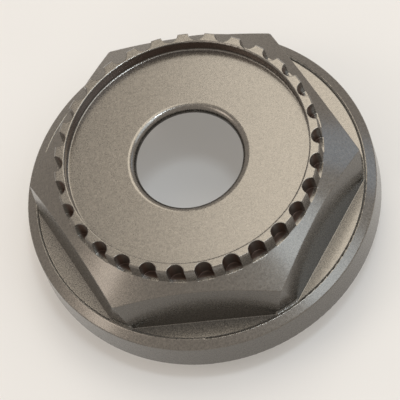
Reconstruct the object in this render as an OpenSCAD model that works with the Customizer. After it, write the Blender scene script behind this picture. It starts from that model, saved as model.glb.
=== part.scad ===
// Snap-in wheel centre cap with a castellated hexagonal body, and its wire spring.
// +Z is the wheel's axis towards the viewer, +X runs through a corner of the hexagon, z = 0 is at the tips
// of the snap fingers on which the cap lies.

/* [Flange] */
// diameter of the skirt at its foot, where it meets the wheel's face
flange_d = 112; // [110:0.5:124]
// height of the skirt, from its foot up to the outer edge of the bevel
skirt_h = 10.8; // [8:0.1:16]
// how much smaller in radius the skirt is at its top than at its foot
skirt_draft = 0.35; // [0:0.05:1]
// wall of the skirt
skirt_t = 2.6; // [2:0.1:3.2]
// width of the bevel on the raised rim, across the radius
bevel_w = 3.4; // [2.6:0.1:4.2]
// rise of the bevel from its outer edge to the crest
bevel_rise = 1.9; // [0.8:0.05:3]
// depth of the sunken floor below the crest of the rim
dish_d = 1.2; // [0.9:0.1:3]
// thickness of the sunken floor
floor_t = 2.6; // [2:0.1:3]
// how much further in the dish's wall is at its foot than at the crest
dish_draft = 0.1; // [0:0.05:0.3]
// rounding of the rim's edges
rim_round = 0.45; // [0.1:0.05:0.8]
// rounding of the joint between the dish's wall and the sunken floor
foot_round = 0.3; // [0.1:0.05:0.4]

/* [Hexagon] */
// width of the hexagon across its flats, level with the top of its corners
hex_af = 90; // [86:0.5:91.5]
// height of the hexagon's corners above the sunken floor
hex_h = 12.55; // [8:0.05:20]
// how much further out the flats are at the sunken floor than at the top of the corners
hex_draft = 1.5; // [0.4:0.1:1.8]
// how much the hexagon's sharp corners are turned down
corner_cut = 0.2; // [0.1:0.05:1]
// slope of the cone that chamfers the hexagon's top, in degrees
cone_angle = 30; // [24:0.5:34]
// height of the flat disc above the hexagon's corners
disc_rise = 7.7; // [6.6:0.1:8.6]
// wall of the hexagon and the cone
wall_t = 2.6; // [2:0.1:3.2]

/* [Castle ring] */
// outside diameter of the ring at its top
ring_d = 82.6; // [81:0.2:85]
// width of the ring across the radius, from the disc's edge to its own outer edge
ring_w = 3.3; // [3:0.1:4.2]
// height of the ring above the disc
ring_h = 4.5; // [2.5:0.05:7]
// how much wider in radius the ring is at its foot than at its top
ring_draft = 0.2; // [0:0.05:0.6]
// rounding of the ring's inner edge and of its foot on the disc
ring_round = 0.4; // [0.1:0.05:0.7]
// bevel on the outer top edge of the teeth
tooth_bevel = 0.4; // [0.1:0.05:0.6]
// number of scallops round the ring
scallop_n = 30; // [12:6:36]
// diameter of each scallop
scallop_d = 5.4; // [3:0.1:5.6]
// how far the flat floor of each scallop lies below the ring's foot on the cone
scallop_sink = 0.25; // [0.1:0.05:0.5]

/* [Disc] */
// thickness of the disc
disc_t = 2.6; // [2:0.1:3.4]
// diameter of the open hole in the middle
hole_d = 33.4; // [20:0.2:44]
// rounding of the hole's upper edge
lip_round = 2.3; // [0.6:0.1:2.4]

/* [Snap collar] */
// diameter of the wheel's bore that the collar snaps into
bore_d = 87; // [85:0.5:89]
// gap between the collar and the bore, on the radius
bore_gap = 0.5; // [0.2:0.1:1]
// wall of the collar
collar_t = 2; // [1.6:0.1:2.6]
// how far the fingers reach past the skirt's foot
finger_l = 12; // [10:0.5:18]
// number of fingers that the slots leave
finger_n = 6; // [3:1:8]
// width of the slots between the fingers
slot_w = 6; // [3:0.5:8]
// how deep the slots run up from the fingertips
slot_l = 29; // [14:0.5:32]
// how far the hooks stand out of the collar
hook_out = 1.1; // [0.5:0.1:1.8]
// height of the hooks' catching edge above the fingertips
hook_z = 7; // [5.5:0.1:8]
// height of the hooks' outermost land
hook_land = 0.9; // [0.5:0.1:1.5]
// width of the lead-in at the fingertips
lead_in = 0.6; // [0.3:0.1:1]
// how far the pad that holds the wire reaches past its groove
pad_margin = 1.1; // [0.6:0.1:1.6]
// thickness of the webs between the collar and the skirt
web_t = 1.6; // [1.2:0.1:2.4]
// how far the webs stay up from the skirt's foot
web_up = 1.5; // [0.5:0.1:4]

/* [Wire spring] */
// thickness of the wire
wire_d = 2; // [1.6:0.1:2.4]
// height of the wire above the fingertips
wire_z = 5.4; // [4.4:0.1:6.4]
// gap round the wire in its groove
wire_gap = 0.1; // [0.05:0.05:0.3]
// width of the opening between the wire's two ends
wire_open = 9; // [4:0.5:20]

/* [Hidden] */
$fn = 120;
over = 1;

foot_z = finger_l;
edge_z = foot_z + skirt_h;
crest_z = edge_z + bevel_rise;
floor_z = crest_z - dish_d;
under_z = floor_z - floor_t;
corner_z = floor_z + hex_h;
disc_z = corner_z + disc_rise;
top_z = disc_z + ring_h;

foot_r = flange_d / 2;
edge_r = foot_r - skirt_draft;
crest_r = edge_r - bevel_w;
corner_r = hex_af / 2 / cos(30);
// the corners are turned to this radius, which keeps them clear of the dish's wall
turn_r = min(corner_r - corner_cut, crest_r - dish_draft - 1.2 * foot_round);
ring_r = ring_d / 2;
disc_r = ring_r - ring_w;
hole_r = hole_d / 2;

// where the ring's outside meets the cone, and how fast it widens on the way down
ring_foot_z = corner_z + (corner_r - ring_r) * tan(cone_angle);
ring_slope = ring_draft / (top_z - ring_foot_z);
scallop_z = ring_foot_z - scallop_sink;

collar_r = bore_d / 2 - bore_gap;
collar_in = collar_r - collar_t;
wire_r = collar_in - wire_d / 2;
groove_r = wire_d / 2 + wire_gap;
pad_h = groove_r + pad_margin;
pad_ramp = collar_in - wire_r;

function unit(v) = v / norm(v);
function half_angle(a, b, c) = acos(unit(a - b) * unit(c - b)) / 2;
// where an arc of radius q at the corner b leaves the side towards a, and where its centre is
function arc_end(a, b, c, q) = b + unit(a - b) * q / tan(half_angle(a, b, c));
function arc_mid(a, b, c, q) = b + unit(unit(a - b) + unit(c - b)) * q / sin(half_angle(a, b, c));
function turn(a, b, c) = (b.x - a.x) * (c.y - b.y) - (b.y - a.y) * (c.x - b.x);

// An outline given anticlockwise as [x, y, rounding], with true arcs at its outer and inner corners. Each
// arc is half a percent proud, so that it crosses the two sides that it joins and doesn't only touch them.
module rounded(p) {
  n = len(p);
  at = [for (q = p) [q.x, q.y]];
  before = [for (i = [0:n - 1]) at[(i + n - 1) % n]];
  after = [for (i = [0:n - 1]) at[(i + 1) % n]];
  difference() {
    polygon([for (i = [0:n - 1]) each p[i][2] == 0 ? [at[i]] :
      [arc_end(before[i], at[i], after[i], p[i][2]), arc_end(after[i], at[i], before[i], p[i][2])]]);
    for (i = [0:n - 1])
      if (p[i][2] > 0 && turn(before[i], at[i], after[i]) < 0)
        translate(arc_mid(before[i], at[i], after[i], p[i][2])) circle(1.005 * p[i][2]);
  }
  for (i = [0:n - 1])
    if (p[i][2] > 0 && turn(before[i], at[i], after[i]) > 0)
      translate(arc_mid(before[i], at[i], after[i], p[i][2])) circle(1.005 * p[i][2]);
}

// A slab between two opposite flats that face the angle a, each further out on its way down.
module slab(a, half, z0, z1) {
  function out(z) = half + hex_draft * (corner_z - z) / hex_h;
  rotate(a) rotate([90, 0, 0]) linear_extrude(4 * half, center = true)
    polygon([[-out(z0), z0], [out(z0), z0], [out(z1), z1], [-out(z1), z1]]);
}

// A tapered hexagonal block, its corners at 0, 60, 120 degrees and so on.
module hex_block(half, z0, z1) intersection() {
  slab(30, half, z0, z1);
  slab(90, half, z0, z1);
  slab(150, half, z0, z1);
}

// Everything under the chamfering cone, cut off flat at flat_z. t is how far in from the cone it lies.
module under_cone(t, flat_z) {
  rim_z = corner_z - t / cos(cone_angle);
  cylinder(h = flat_z, r1 = corner_r + rim_z / tan(cone_angle),
    r2 = corner_r - (flat_z - rim_z) / tan(cone_angle));
}

module hex_body() intersection() {
  hex_block(hex_af / 2, under_z, disc_z + over);
  under_cone(0, disc_z);
  cylinder(r = turn_r, h = top_z);
}

// The dished flange, filled: skirt, bevel, crest, wall of the dish and sunken floor.
module flange_body() rotate_extrude() rounded([
  [0, foot_z, 0],
  [foot_r, foot_z, rim_round],
  [edge_r, edge_z, rim_round],
  [crest_r, crest_z, rim_round],
  [crest_r - dish_draft, floor_z, foot_round],
  [0, floor_z, 0]
]);

// The drafted band on the cone that the scallops cut into teeth, with a fillet at its foot on the disc.
module castle_band() rotate_extrude() {
  rounded([
    [disc_r, corner_z, 0],
    [ring_r + ring_slope * (top_z - corner_z), corner_z, 0],
    [ring_r, top_z - tooth_bevel, 0],
    [ring_r - tooth_bevel, top_z, 0],
    [disc_r, top_z, ring_round]
  ]);
  translate([disc_r - ring_round, disc_z - over]) difference() {
    square([ring_round + over / 2, ring_round + over]);
    translate([0, ring_round + over]) circle(ring_round);
  }
}

// The half-round scallops round the band, each with a flat floor and one of them at each corner.
module scallops() for (i = [0:scallop_n - 1]) rotate(i * 360 / scallop_n)
  translate([ring_r, 0, scallop_z])
    cylinder(d = scallop_d, h = top_z - scallop_z + over, $fn = 48);

// The open hole with its rounded upper edge.
module hole() rotate_extrude() {
  translate([0, disc_z - disc_t - over]) square([hole_r, disc_t + 2 * over]);
  difference() {
    translate([0, disc_z - lip_round]) square([hole_r + lip_round, lip_round + over]);
    translate([hole_r + lip_round, disc_z - lip_round]) circle(lip_round);
  }
}

// The snap collar up to the height z1, slotted into fingers that end in hooks.
module collar(z1) difference() {
  rotate_extrude() difference() {
    polygon([
      [collar_in + 0.2, 0],
      [collar_r - lead_in, 0],
      [collar_r + hook_out, hook_z - hook_out - hook_land],
      [collar_r + hook_out, hook_z - hook_out],
      [collar_r, hook_z],
      [collar_r, z1],
      [collar_in, z1],
      [collar_in, wire_z + pad_h + pad_ramp],
      [wire_r, wire_z + pad_h],
      [wire_r, wire_z - pad_h],
      [collar_in + 0.1, wire_z - pad_h - pad_ramp]
    ]);
    translate([wire_r, wire_z]) circle(groove_r);
  }
  for (i = [0:finger_n - 1]) rotate(i * 360 / finger_n)
    translate([collar_in / 2, -slot_w / 2, -over])
      cube([collar_r, slot_w, slot_l + over]);
}

// Webs that brace the collar against the skirt, behind the middle of each finger.
module webs() for (i = [0:finger_n - 1]) rotate((i + 0.5) * 360 / finger_n)
  translate([collar_in + collar_t / 2, -web_t / 2, foot_z + web_up])
    cube([foot_r - collar_in, web_t, under_z - foot_z]);

module hollow() {
  intersection() {
    hex_block(hex_af / 2 - wall_t, foot_z - over, disc_z);
    under_cone(wall_t, disc_z - disc_t);
    cylinder(r = turn_r - wall_t, h = top_z);
  }
  translate([0, 0, foot_z - over]) cylinder(r = foot_r - skirt_t, h = under_z - foot_z + over);
}

module cap() color("dimgray") difference() {
  union() {
    hex_body();
    flange_body();
    castle_band();
    collar(under_z);
  }
  difference() {
    hollow();
    collar(disc_z);
    webs();
  }
  scallops();
  hole();
}

// The spring: an open ring of round wire that lies in the groove of the fingers and presses them outward.
module wire_spring() {
  gap = wire_open / wire_r * 180 / PI;
  color("silver") translate([0, 0, wire_z]) rotate(240 + gap / 2)
    rotate_extrude(angle = 360 - gap) translate([wire_r, 0]) circle(d = wire_d);
}

cap();
wire_spring();
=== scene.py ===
"""Finishes for a snap-in wheel centre cap.

The moulded cap gets a gunmetal flake paint and its spring a drawn steel, on pale paper in a soft
studio. Everything is in metres, in the frame of the solid model.
"""

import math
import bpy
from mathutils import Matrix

bl_info = {
    "name": "Wheel centre cap finishes",
    "version": (1, 0, 0),
    "blender": (4, 5, 0),
    "location": "View3D > Sidebar > Centre Cap",
    "description": "Paints a moulded wheel centre cap, finishes its spring and sets a pale studio",
    "category": "Material",
}

import bpy
from mathutils import Vector

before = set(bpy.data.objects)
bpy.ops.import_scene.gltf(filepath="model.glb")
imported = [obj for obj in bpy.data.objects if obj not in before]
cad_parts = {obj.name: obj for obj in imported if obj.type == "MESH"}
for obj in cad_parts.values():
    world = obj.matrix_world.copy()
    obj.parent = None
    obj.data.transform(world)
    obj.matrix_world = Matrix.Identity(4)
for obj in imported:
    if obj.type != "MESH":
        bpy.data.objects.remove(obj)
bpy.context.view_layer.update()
MM = 0.001

# Ring-shaped zones in which the coat differs, in millimetres: painted shade in the notches, on
# their floors and down the ring's wall, a painted highlight on the crest, and the teeth and the
# crest spared from the painted shade of steep walls. Each has its limits in radius and then in
# height: lowest, highest, and the width of the fade beyond them.
NOTCH_FLOOR = ((39.4, 39.7, 1.2), (41.9, 42.0, 0.03))
NOTCH = ((39.3, 39.9, 1.0), (41.9, 47.75, 0.15))
TEETH = ((40.4, 41.7, 0.6), (42.2, 47.75, 0.1))
RING_WALL = ((37.4, 38.3, 0.1), (44.5, 47.6, 0.3))
CREST = ((51.55, 52.35, 0.15), (23.7, 25.0, 0.15))

# Squared height of a wall's normal up to which it is steep, and from which it isn't; steep walls
# get painted shade.
STEEP = (0.03, 0.25)

# Waves to the metre of the paint's mottling, the wire's scratches and the paper's pulp, and the
# middle part of a noise's range, which holds nearly all of it.
GRAIN_WAVES, SCRATCH_WAVES, PULP_WAVES = 1500.0, 900.0, 14.0
NOISE_RANGE = (0.3, 0.7)

# How strongly each part or change of the coat shows, from 0 to 1.
FLAKE_SHARE, GRAIN_SHARE = 0.3, 0.55
FLAKE_RELIEF, GRAIN_RELIEF, CREST_SMOOTHING = 0.5, 0.6, 0.8
# The steep, floor and crest shares set how strongly the painted shade of steep walls and notch
# floors and the painted highlight of the crest show.
STEEP_SHARE, FLOOR_SHARE, CREST_HIGHLIGHT_SHARE = 0.65, 0.6, 0.85
# Brightness of the painted shade on steep walls and on the notch floors, as a share of their
# colours.
STEEP_PAINTED_SHADE, NOTCH_FLOOR_PAINTED_SHADE = 0.64, 0.3
NOTCH_THINNING, STEEP_THINNING = 0.8, 0.6
NOTCH_DULLING, CREST_DULLING = 0.18, 0.2
PAINT_ROUGHNESS_SPREAD = (-0.02, 0.03)
WIRE_ROUGHNESS = (0.22, 0.38)

# The paper as the camera and the reflections see it, and how much of that is added to its shade.
PAPER_GLOW, GLOW_SHARE = (1.0, 0.945, 0.87), 0.25
FLOOR_SIZE = 6.0
SKY_COLOUR, SKY_STRENGTH = (0.95, 0.868, 0.79), 0.62

# Soft lamps: name, place, the point that they look at, width and length, watts and colour.
MIDDLE = (0, 0, 0.03)
LAMPS = (
    ("lamp_back", (0.10, 0.72, 1.35), (0.10, 0.72, 0), (0.64, 1.2), 6.7, (1.0, 0.93, 0.80)),
    ("lamp_side", (0.82, -0.2, 1.45), MIDDLE, (0.9, 0.9), 5.2, (0.76, 0.89, 1.0)),
    ("lamp_over", (0.23, -0.16, 1.2), MIDDLE, (0.14, 0.14), 2.6, (0.80, 0.91, 1.0)),
    ("lamp_left", (-0.86, -0.24, 0.98), MIDDLE, (0.45, 0.45), 1.75, (1.0, 0.89, 0.79)),
    ("lamp_window", (1.1, 0.72, 0.95), MIDDLE, (0.5, 0.5), 0.6, (0.42, 0.68, 1.0)),
)

SENSOR_WIDTH = 36.0
CLIP_START, CLIP_END = 0.01, 20.0


def feed(tree, slot, value):
    """Link a value or a socket to a node's slot, or write a plain number or colour there."""
    if isinstance(value, Value):
        value = value.socket
    if isinstance(value, bpy.types.NodeSocket):
        tree.links.new(value, slot)
    elif slot.type == "RGBA":
        slot.default_value = (*value, 1.0)
    else:
        slot.default_value = value


def shaded(colour, share):
    """A colour at a share of its brightness."""
    return tuple(share * channel for channel in colour)


class Value:
    """A number on its way through a node tree, whose sums and products add their Math nodes."""

    def __init__(self, tree, socket):
        self.tree, self.socket = tree, socket

    def _math(self, operation, *terms, clamp=False):
        node = self.tree.nodes.new("ShaderNodeMath")
        node.operation, node.use_clamp = operation, clamp
        for slot, term in zip(node.inputs, terms):
            feed(self.tree, slot, term)
        return Value(self.tree, node.outputs[0])

    def __add__(self, other):
        return self._math("ADD", self, other)

    def __sub__(self, other):
        return self._math("SUBTRACT", self, other)

    def __rsub__(self, other):
        return self._math("SUBTRACT", other, self)

    def __mul__(self, other):
        return self._math("MULTIPLY", self, other)

    __radd__ = __add__
    __rmul__ = __mul__

    def root(self):
        return self._math("SQRT", self)

    def clamp(self):
        return self._math("ADD", self, 0.0, clamp=True)


class Finish:
    """A new material and the few calls that build its node tree."""

    def __init__(self, name):
        self.material = bpy.data.materials.new(name)
        self.material.use_nodes = True
        self.tree = self.material.node_tree
        self.tree.nodes.clear()
        self.out = self.tree.nodes.new("ShaderNodeOutputMaterial")

    def node(self, kind, settings=None, **inputs):
        """Add one node: its settings first, then the values or links of its sockets by name."""
        node = self.tree.nodes.new(kind)
        for key, value in (settings or {}).items():
            setattr(node, key, value)
        for key, value in inputs.items():
            name = key.replace("_", " ")
            feed(self.tree, next(s for s in node.inputs if s.enabled and s.name == name), value)
        return node

    def value(self, kind, settings=None, output=0, **inputs):
        """Add one node and take one of its outputs as a number."""
        return Value(self.tree, self.node(kind, settings, **inputs).outputs[output])

    def place(self):
        """The part's own coordinates in metres."""
        return self.node("ShaderNodeTexCoord").outputs["Object"]

    def noise(self, place, scale, detail, roughness=0.5):
        """Smooth noise, at so many waves to the metre."""
        return self.value(
            "ShaderNodeTexNoise",
            {"noise_dimensions": "3D"},
            Vector=place,
            Scale=scale,
            Detail=detail,
            Roughness=roughness,
        )

    def spread(self, value, low, high, to_low=0.0, to_high=1.0):
        """Stretch the range between two numbers over another one, and hold it there."""
        return self.value(
            "ShaderNodeMapRange",
            {"clamp": True},
            Value=value,
            From_Min=low,
            From_Max=high,
            To_Min=to_low,
            To_Max=to_high,
        )

    def reach(self, place):
        """Distance from the part's axis and height, in metres."""
        parts = self.node("ShaderNodeSeparateXYZ", Vector=place)
        x, y, z = (Value(self.tree, parts.outputs[axis]) for axis in "XYZ")
        return (x * x + y * y).root(), z

    def band(self, value, limits):
        """One between two limits in millimetres, falling to nothing over the third number."""
        low, high, fade = (MM * limit for limit in limits)
        rise = self.spread(value, low - fade, low)
        return rise * self.spread(value, high, high + fade, 1.0, 0.0)

    def zone(self, radius, height, limits):
        """One inside a ring-shaped zone, and nothing outside it."""
        return self.band(radius, limits[0]) * self.band(height, limits[1])

    def blend(self, share, first, second):
        """A colour between two, by share."""
        node = self.node("ShaderNodeMix", {"data_type": "RGBA"}, Factor=share, A=first, B=second)
        return next(s for s in node.outputs if s.enabled)

    def mix(self, share, first, second):
        """A shader between two, by share."""
        node = self.node("ShaderNodeMixShader")
        for slot, value in zip(node.inputs, (share, first, second)):
            feed(self.tree, slot, value)
        return node.outputs[0]

    def show(self, shader):
        """End the tree with its shader."""
        self.tree.links.new(shader, self.out.inputs["Surface"])
        return self.material


class PaintSettings(bpy.types.PropertyGroup):
    """Colours and grain of the cap's paint, and the colours of its painted shade and painted
    highlight
    """

    base: bpy.props.FloatVectorProperty(
        name="Paint",
        description="Colour of the metallic base coat seen square on",
        subtype="COLOR",
        size=3,
        min=0,
        max=1,
        default=(0.229, 0.208, 0.181),
    )
    # The dark flake colour is also the base of the painted shade on steep walls.
    dark: bpy.props.FloatVectorProperty(
        name="Dark flake",
        description="Colour of the coat between its flakes",
        subtype="COLOR",
        size=3,
        min=0,
        max=1,
        default=(0.125, 0.114, 0.100),
    )
    # Painted shade: a dark brown laid in the notches and down the ring's inner wall.
    recess_painted_shade: bpy.props.FloatVectorProperty(
        name="Recess",
        description="Colour of the thin coat in the notches and down the ring's wall",
        subtype="COLOR",
        size=3,
        min=0,
        max=1,
        default=(0.095, 0.058, 0.042),
    )
    # Painted highlight: a bright colour laid along the dish's crest.
    crest_painted_highlight: bpy.props.FloatVectorProperty(
        name="Rubbed edge",
        description="Colour of the coat where the dish's crest is rubbed bright",
        subtype="COLOR",
        size=3,
        min=0,
        max=1,
        default=(0.56, 0.54, 0.50),
    )
    flake: bpy.props.FloatProperty(
        name="Flake size",
        description="Width of one flake in the coat",
        unit="LENGTH",
        default=0.35 * MM,
        min=0.05 * MM,
    )
    sheen: bpy.props.FloatProperty(
        name="Roughness",
        description="How soft the coat's reflections are",
        subtype="FACTOR",
        default=0.27,
        min=0,
        max=1,
    )
    edge: bpy.props.FloatProperty(
        name="Edge rounding",
        description="Radius to which paint and mould soften each edge",
        unit="LENGTH",
        default=0.4 * MM,
        min=0,
    )


class WireSettings(bpy.types.PropertyGroup):
    """Colour of the wire spring"""

    steel: bpy.props.FloatVectorProperty(
        name="Steel",
        description="Colour of the bright drawn wire",
        subtype="COLOR",
        size=3,
        min=0,
        max=1,
        default=(0.52, 0.52, 0.53),
    )


class StageSettings(bpy.types.PropertyGroup):
    """Colour of the paper and the camera's place and lens"""

    floor: bpy.props.FloatVectorProperty(
        name="Paper",
        description="Colour of the pale paper that the cap lies on",
        subtype="COLOR",
        size=3,
        min=0,
        max=1,
        default=(0.75, 0.735, 0.72),
    )
    lens: bpy.props.FloatProperty(
        name="Lens",
        description="Focal length of the camera in millimetres",
        unit="CAMERA",
        default=216.0,
        min=1,
    )
    camera_at: bpy.props.FloatVectorProperty(
        name="Camera",
        description="Where the camera stands",
        subtype="TRANSLATION",
        unit="LENGTH",
        default=(0.1084, -0.3465, 0.6840),
    )
    camera_turn: bpy.props.FloatVectorProperty(
        name="Camera turn",
        description="How the camera is turned",
        subtype="EULER",
        unit="ROTATION",
        default=(math.radians(26.769), math.radians(10.124), math.radians(-1.587)),
    )


def flake_paint(settings):
    """Gunmetal base coat with fine flakes under a satin clear coat.

    The clear coat is thin on steep walls and in the notches. Painted shade darkens the colour on
    steep walls, lays a dark brown in the notches and down the ring's wall, darker still on the
    notch floors, and a painted highlight lightens the crest of the dish.
    """
    f = Finish("gunmetal_flake_paint")
    here = f.place()
    scale = 1.0 / settings.flake
    cells = f.node("ShaderNodeTexVoronoi", {"feature": "F1"}, Vector=here, Scale=scale)
    flake = f.value("ShaderNodeSeparateColor", Color=cells.outputs["Color"])
    grain = f.noise(here, GRAIN_WAVES, detail=2.0, roughness=0.6)

    radius, height = f.reach(here)
    floor, notch, teeth, wall, crest = (
        f.zone(radius, height, limits) for limits in (NOTCH_FLOOR, NOTCH, TEETH, RING_WALL, CREST)
    )
    notch = (notch + floor).clamp()
    normal = f.node("ShaderNodeNewGeometry").outputs["Normal"]
    facing = f.value("ShaderNodeSeparateXYZ", output="Z", Vector=normal)
    steep = f.spread(facing * facing, *STEEP, 1.0, 0.0) * (1.0 - teeth) * (1.0 - crest)

    share = (flake * FLAKE_SHARE + f.spread(grain, *NOISE_RANGE) * GRAIN_SHARE).clamp()
    colour = f.blend(share, settings.dark, settings.base)
    # Painted shade: steep walls darkened towards the dark flake colour.
    colour = f.blend(steep * STEEP_SHARE, colour, shaded(settings.dark, STEEP_PAINTED_SHADE))
    # Painted shade: dark brown in the notches and down the ring's inner wall.
    colour = f.blend((notch + wall).clamp(), colour, settings.recess_painted_shade)
    # Painted shade: darker still on the notch floors.
    colour = f.blend(floor * FLOOR_SHARE, colour, shaded(settings.recess_painted_shade, NOTCH_FLOOR_PAINTED_SHADE))
    # Painted highlight: the dish's crest lightened.
    colour = f.blend(crest * CREST_HIGHLIGHT_SHARE, colour, settings.crest_painted_highlight)

    smooth, dull = (settings.sheen + change for change in PAINT_ROUGHNESS_SPREAD)
    rough = f.spread(grain, *NOISE_RANGE, smooth, dull)
    rough = (rough + notch * NOTCH_DULLING + crest * CREST_DULLING).clamp()
    soft = f.node("ShaderNodeBevel", {"samples": 16}, Radius=settings.edge)
    skin = f.node(
        "ShaderNodeBump",
        Strength=0.2,
        Distance=0.01 * MM,
        Height=(grain * GRAIN_RELIEF + flake * FLAKE_RELIEF) * (1.0 - crest * CREST_SMOOTHING),
        Normal=soft.outputs["Normal"],
    )
    shader = f.node(
        "ShaderNodeBsdfPrincipled",
        Base_Color=colour,
        Metallic=0.82,
        Roughness=rough,
        Coat_Weight=(1.0 - notch * NOTCH_THINNING - steep * STEEP_THINNING).clamp(),
        Coat_IOR=1.55,
        Coat_Roughness=0.15,
        Normal=skin.outputs["Normal"],
    )
    return f.show(shader.outputs["BSDF"])


def drawn_wire(settings):
    """Bright spring steel with the fine scratches of drawing."""
    f = Finish("drawn_spring_wire")
    streak = f.noise(f.place(), SCRATCH_WAVES, detail=4.0)
    tint = f.blend(f.spread(streak, 0.35, 0.65), shaded(settings.steel, 0.8), settings.steel)
    skin = f.node("ShaderNodeBump", Strength=0.2, Distance=0.02 * MM, Height=streak)
    shader = f.node(
        "ShaderNodeBsdfPrincipled",
        Base_Color=tint,
        Metallic=1.0,
        Roughness=f.spread(streak, *NOISE_RANGE, *WIRE_ROUGHNESS),
        Normal=skin.outputs["Normal"],
    )
    return f.show(shader.outputs["BSDF"])


def pale_paper(settings):
    """Paper that the camera and the reflections see near white, with the cap's shadow on it."""
    f = Finish("pale_paper")
    pulp = f.spread(f.noise(f.place(), PULP_WAVES, detail=2.0), *NOISE_RANGE)
    tint = f.blend(pulp, shaded(settings.floor, 0.97), settings.floor)
    matt = f.node("ShaderNodeBsdfDiffuse", Color=tint)
    glow = f.node("ShaderNodeEmission", Color=PAPER_GLOW, Strength=1.0)
    rays = f.node("ShaderNodeLightPath").outputs
    camera, glossy, through = (
        Value(f.tree, rays[name])
        for name in ("Is Camera Ray", "Is Glossy Ray", "Is Transmission Ray")
    )
    seen = (camera + glossy + through).clamp() * GLOW_SHARE
    return f.show(f.mix(seen, matt.outputs["BSDF"], glow.outputs["Emission"]))


def add_lamp(name, place, target, size, power, colour):
    """Hang a rectangular soft lamp that looks at a point."""
    data = bpy.data.lights.new(name, "AREA")
    data.shape, data.size, data.size_y = "RECTANGLE", size[0], size[1]
    data.energy, data.color = power, colour
    holder = bpy.data.objects.new(name, data)
    holder.location = place
    holder.rotation_euler = (Vector(target) - Vector(place)).to_track_quat("-Z", "Y").to_euler()
    bpy.context.scene.collection.objects.link(holder)


def add_camera(settings):
    """Set the camera at the photograph's viewing angle."""
    data = bpy.data.cameras.new("camera")
    data.lens, data.sensor_width, data.sensor_fit = settings.lens, SENSOR_WIDTH, "HORIZONTAL"
    data.clip_start, data.clip_end = CLIP_START, CLIP_END
    camera = bpy.data.objects.new("camera", data)
    camera.location = settings.camera_at
    camera.rotation_euler = settings.camera_turn
    bpy.context.scene.collection.objects.link(camera)
    bpy.context.scene.camera = camera


class CAP_OT_paint(bpy.types.Operator):
    """Paint the moulded cap in gunmetal flake with softened edges"""

    bl_idname = "centre_cap.paint"
    bl_label = "Paint the cap"

    def execute(self, context):
        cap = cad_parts["cap"]
        cap.data.materials.clear()
        cap.data.materials.append(flake_paint(context.scene.centre_cap_paint))
        return {"FINISHED"}


class CAP_OT_wire(bpy.types.Operator):
    """Give the wire spring the finish of bright drawn steel"""

    bl_idname = "centre_cap.wire"
    bl_label = "Finish the wire"

    def execute(self, context):
        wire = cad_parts["wire_spring"]
        wire.data.materials.clear()
        wire.data.materials.append(drawn_wire(context.scene.centre_cap_wire))
        return {"FINISHED"}


class CAP_OT_stage(bpy.types.Operator):
    """Set the pale floor, the soft lamps and the camera"""

    bl_idname = "centre_cap.stage"
    bl_label = "Set the stage"

    def execute(self, context):
        scene = context.scene
        settings = scene.centre_cap_stage
        bpy.ops.object.select_all(action="DESELECT")
        bpy.ops.mesh.primitive_plane_add(size=FLOOR_SIZE, location=(0, 0, 0))
        floor = context.active_object
        floor.name = "paper_floor"
        floor.data.materials.append(pale_paper(settings))

        scene.world = bpy.data.worlds.new("studio")
        scene.world.use_nodes = True
        sky = scene.world.node_tree.nodes["Background"]
        sky.inputs["Color"].default_value = (*SKY_COLOUR, 1.0)
        sky.inputs["Strength"].default_value = SKY_STRENGTH

        for lamp in LAMPS:
            add_lamp(*lamp)
        add_camera(settings)
        scene.view_settings.view_transform = "Standard"
        return {"FINISHED"}


class CAP_PT_panel(bpy.types.Panel):
    """Lists the finishes and the stage, each with its settings"""

    bl_idname = "CAP_PT_panel"
    bl_label = "Centre Cap"
    bl_space_type = "VIEW_3D"
    bl_region_type = "UI"
    bl_category = "Centre Cap"

    def draw(self, context):
        for owner, operator in (
            (context.scene.centre_cap_paint, CAP_OT_paint),
            (context.scene.centre_cap_wire, CAP_OT_wire),
            (context.scene.centre_cap_stage, CAP_OT_stage),
        ):
            box = self.layout.box()
            for name in type(owner).__annotations__:
                box.prop(owner, name)
            box.operator(operator.bl_idname)


CLASSES = (
    PaintSettings,
    WireSettings,
    StageSettings,
    CAP_OT_paint,
    CAP_OT_wire,
    CAP_OT_stage,
    CAP_PT_panel,
)


def register():
    """Make the classes known and hang their settings on the scene."""
    for cls in CLASSES:
        bpy.utils.register_class(cls)
    bpy.types.Scene.centre_cap_paint = bpy.props.PointerProperty(type=PaintSettings)
    bpy.types.Scene.centre_cap_wire = bpy.props.PointerProperty(type=WireSettings)
    bpy.types.Scene.centre_cap_stage = bpy.props.PointerProperty(type=StageSettings)


def unregister():
    """Take the settings off the scene and forget the classes."""
    del bpy.types.Scene.centre_cap_stage
    del bpy.types.Scene.centre_cap_wire
    del bpy.types.Scene.centre_cap_paint
    for cls in reversed(CLASSES):
        bpy.utils.unregister_class(cls)


def main():
    register()
    bpy.ops.centre_cap.paint()
    bpy.ops.centre_cap.wire()
    bpy.ops.centre_cap.stage()


if __name__ == "__main__":
    main()
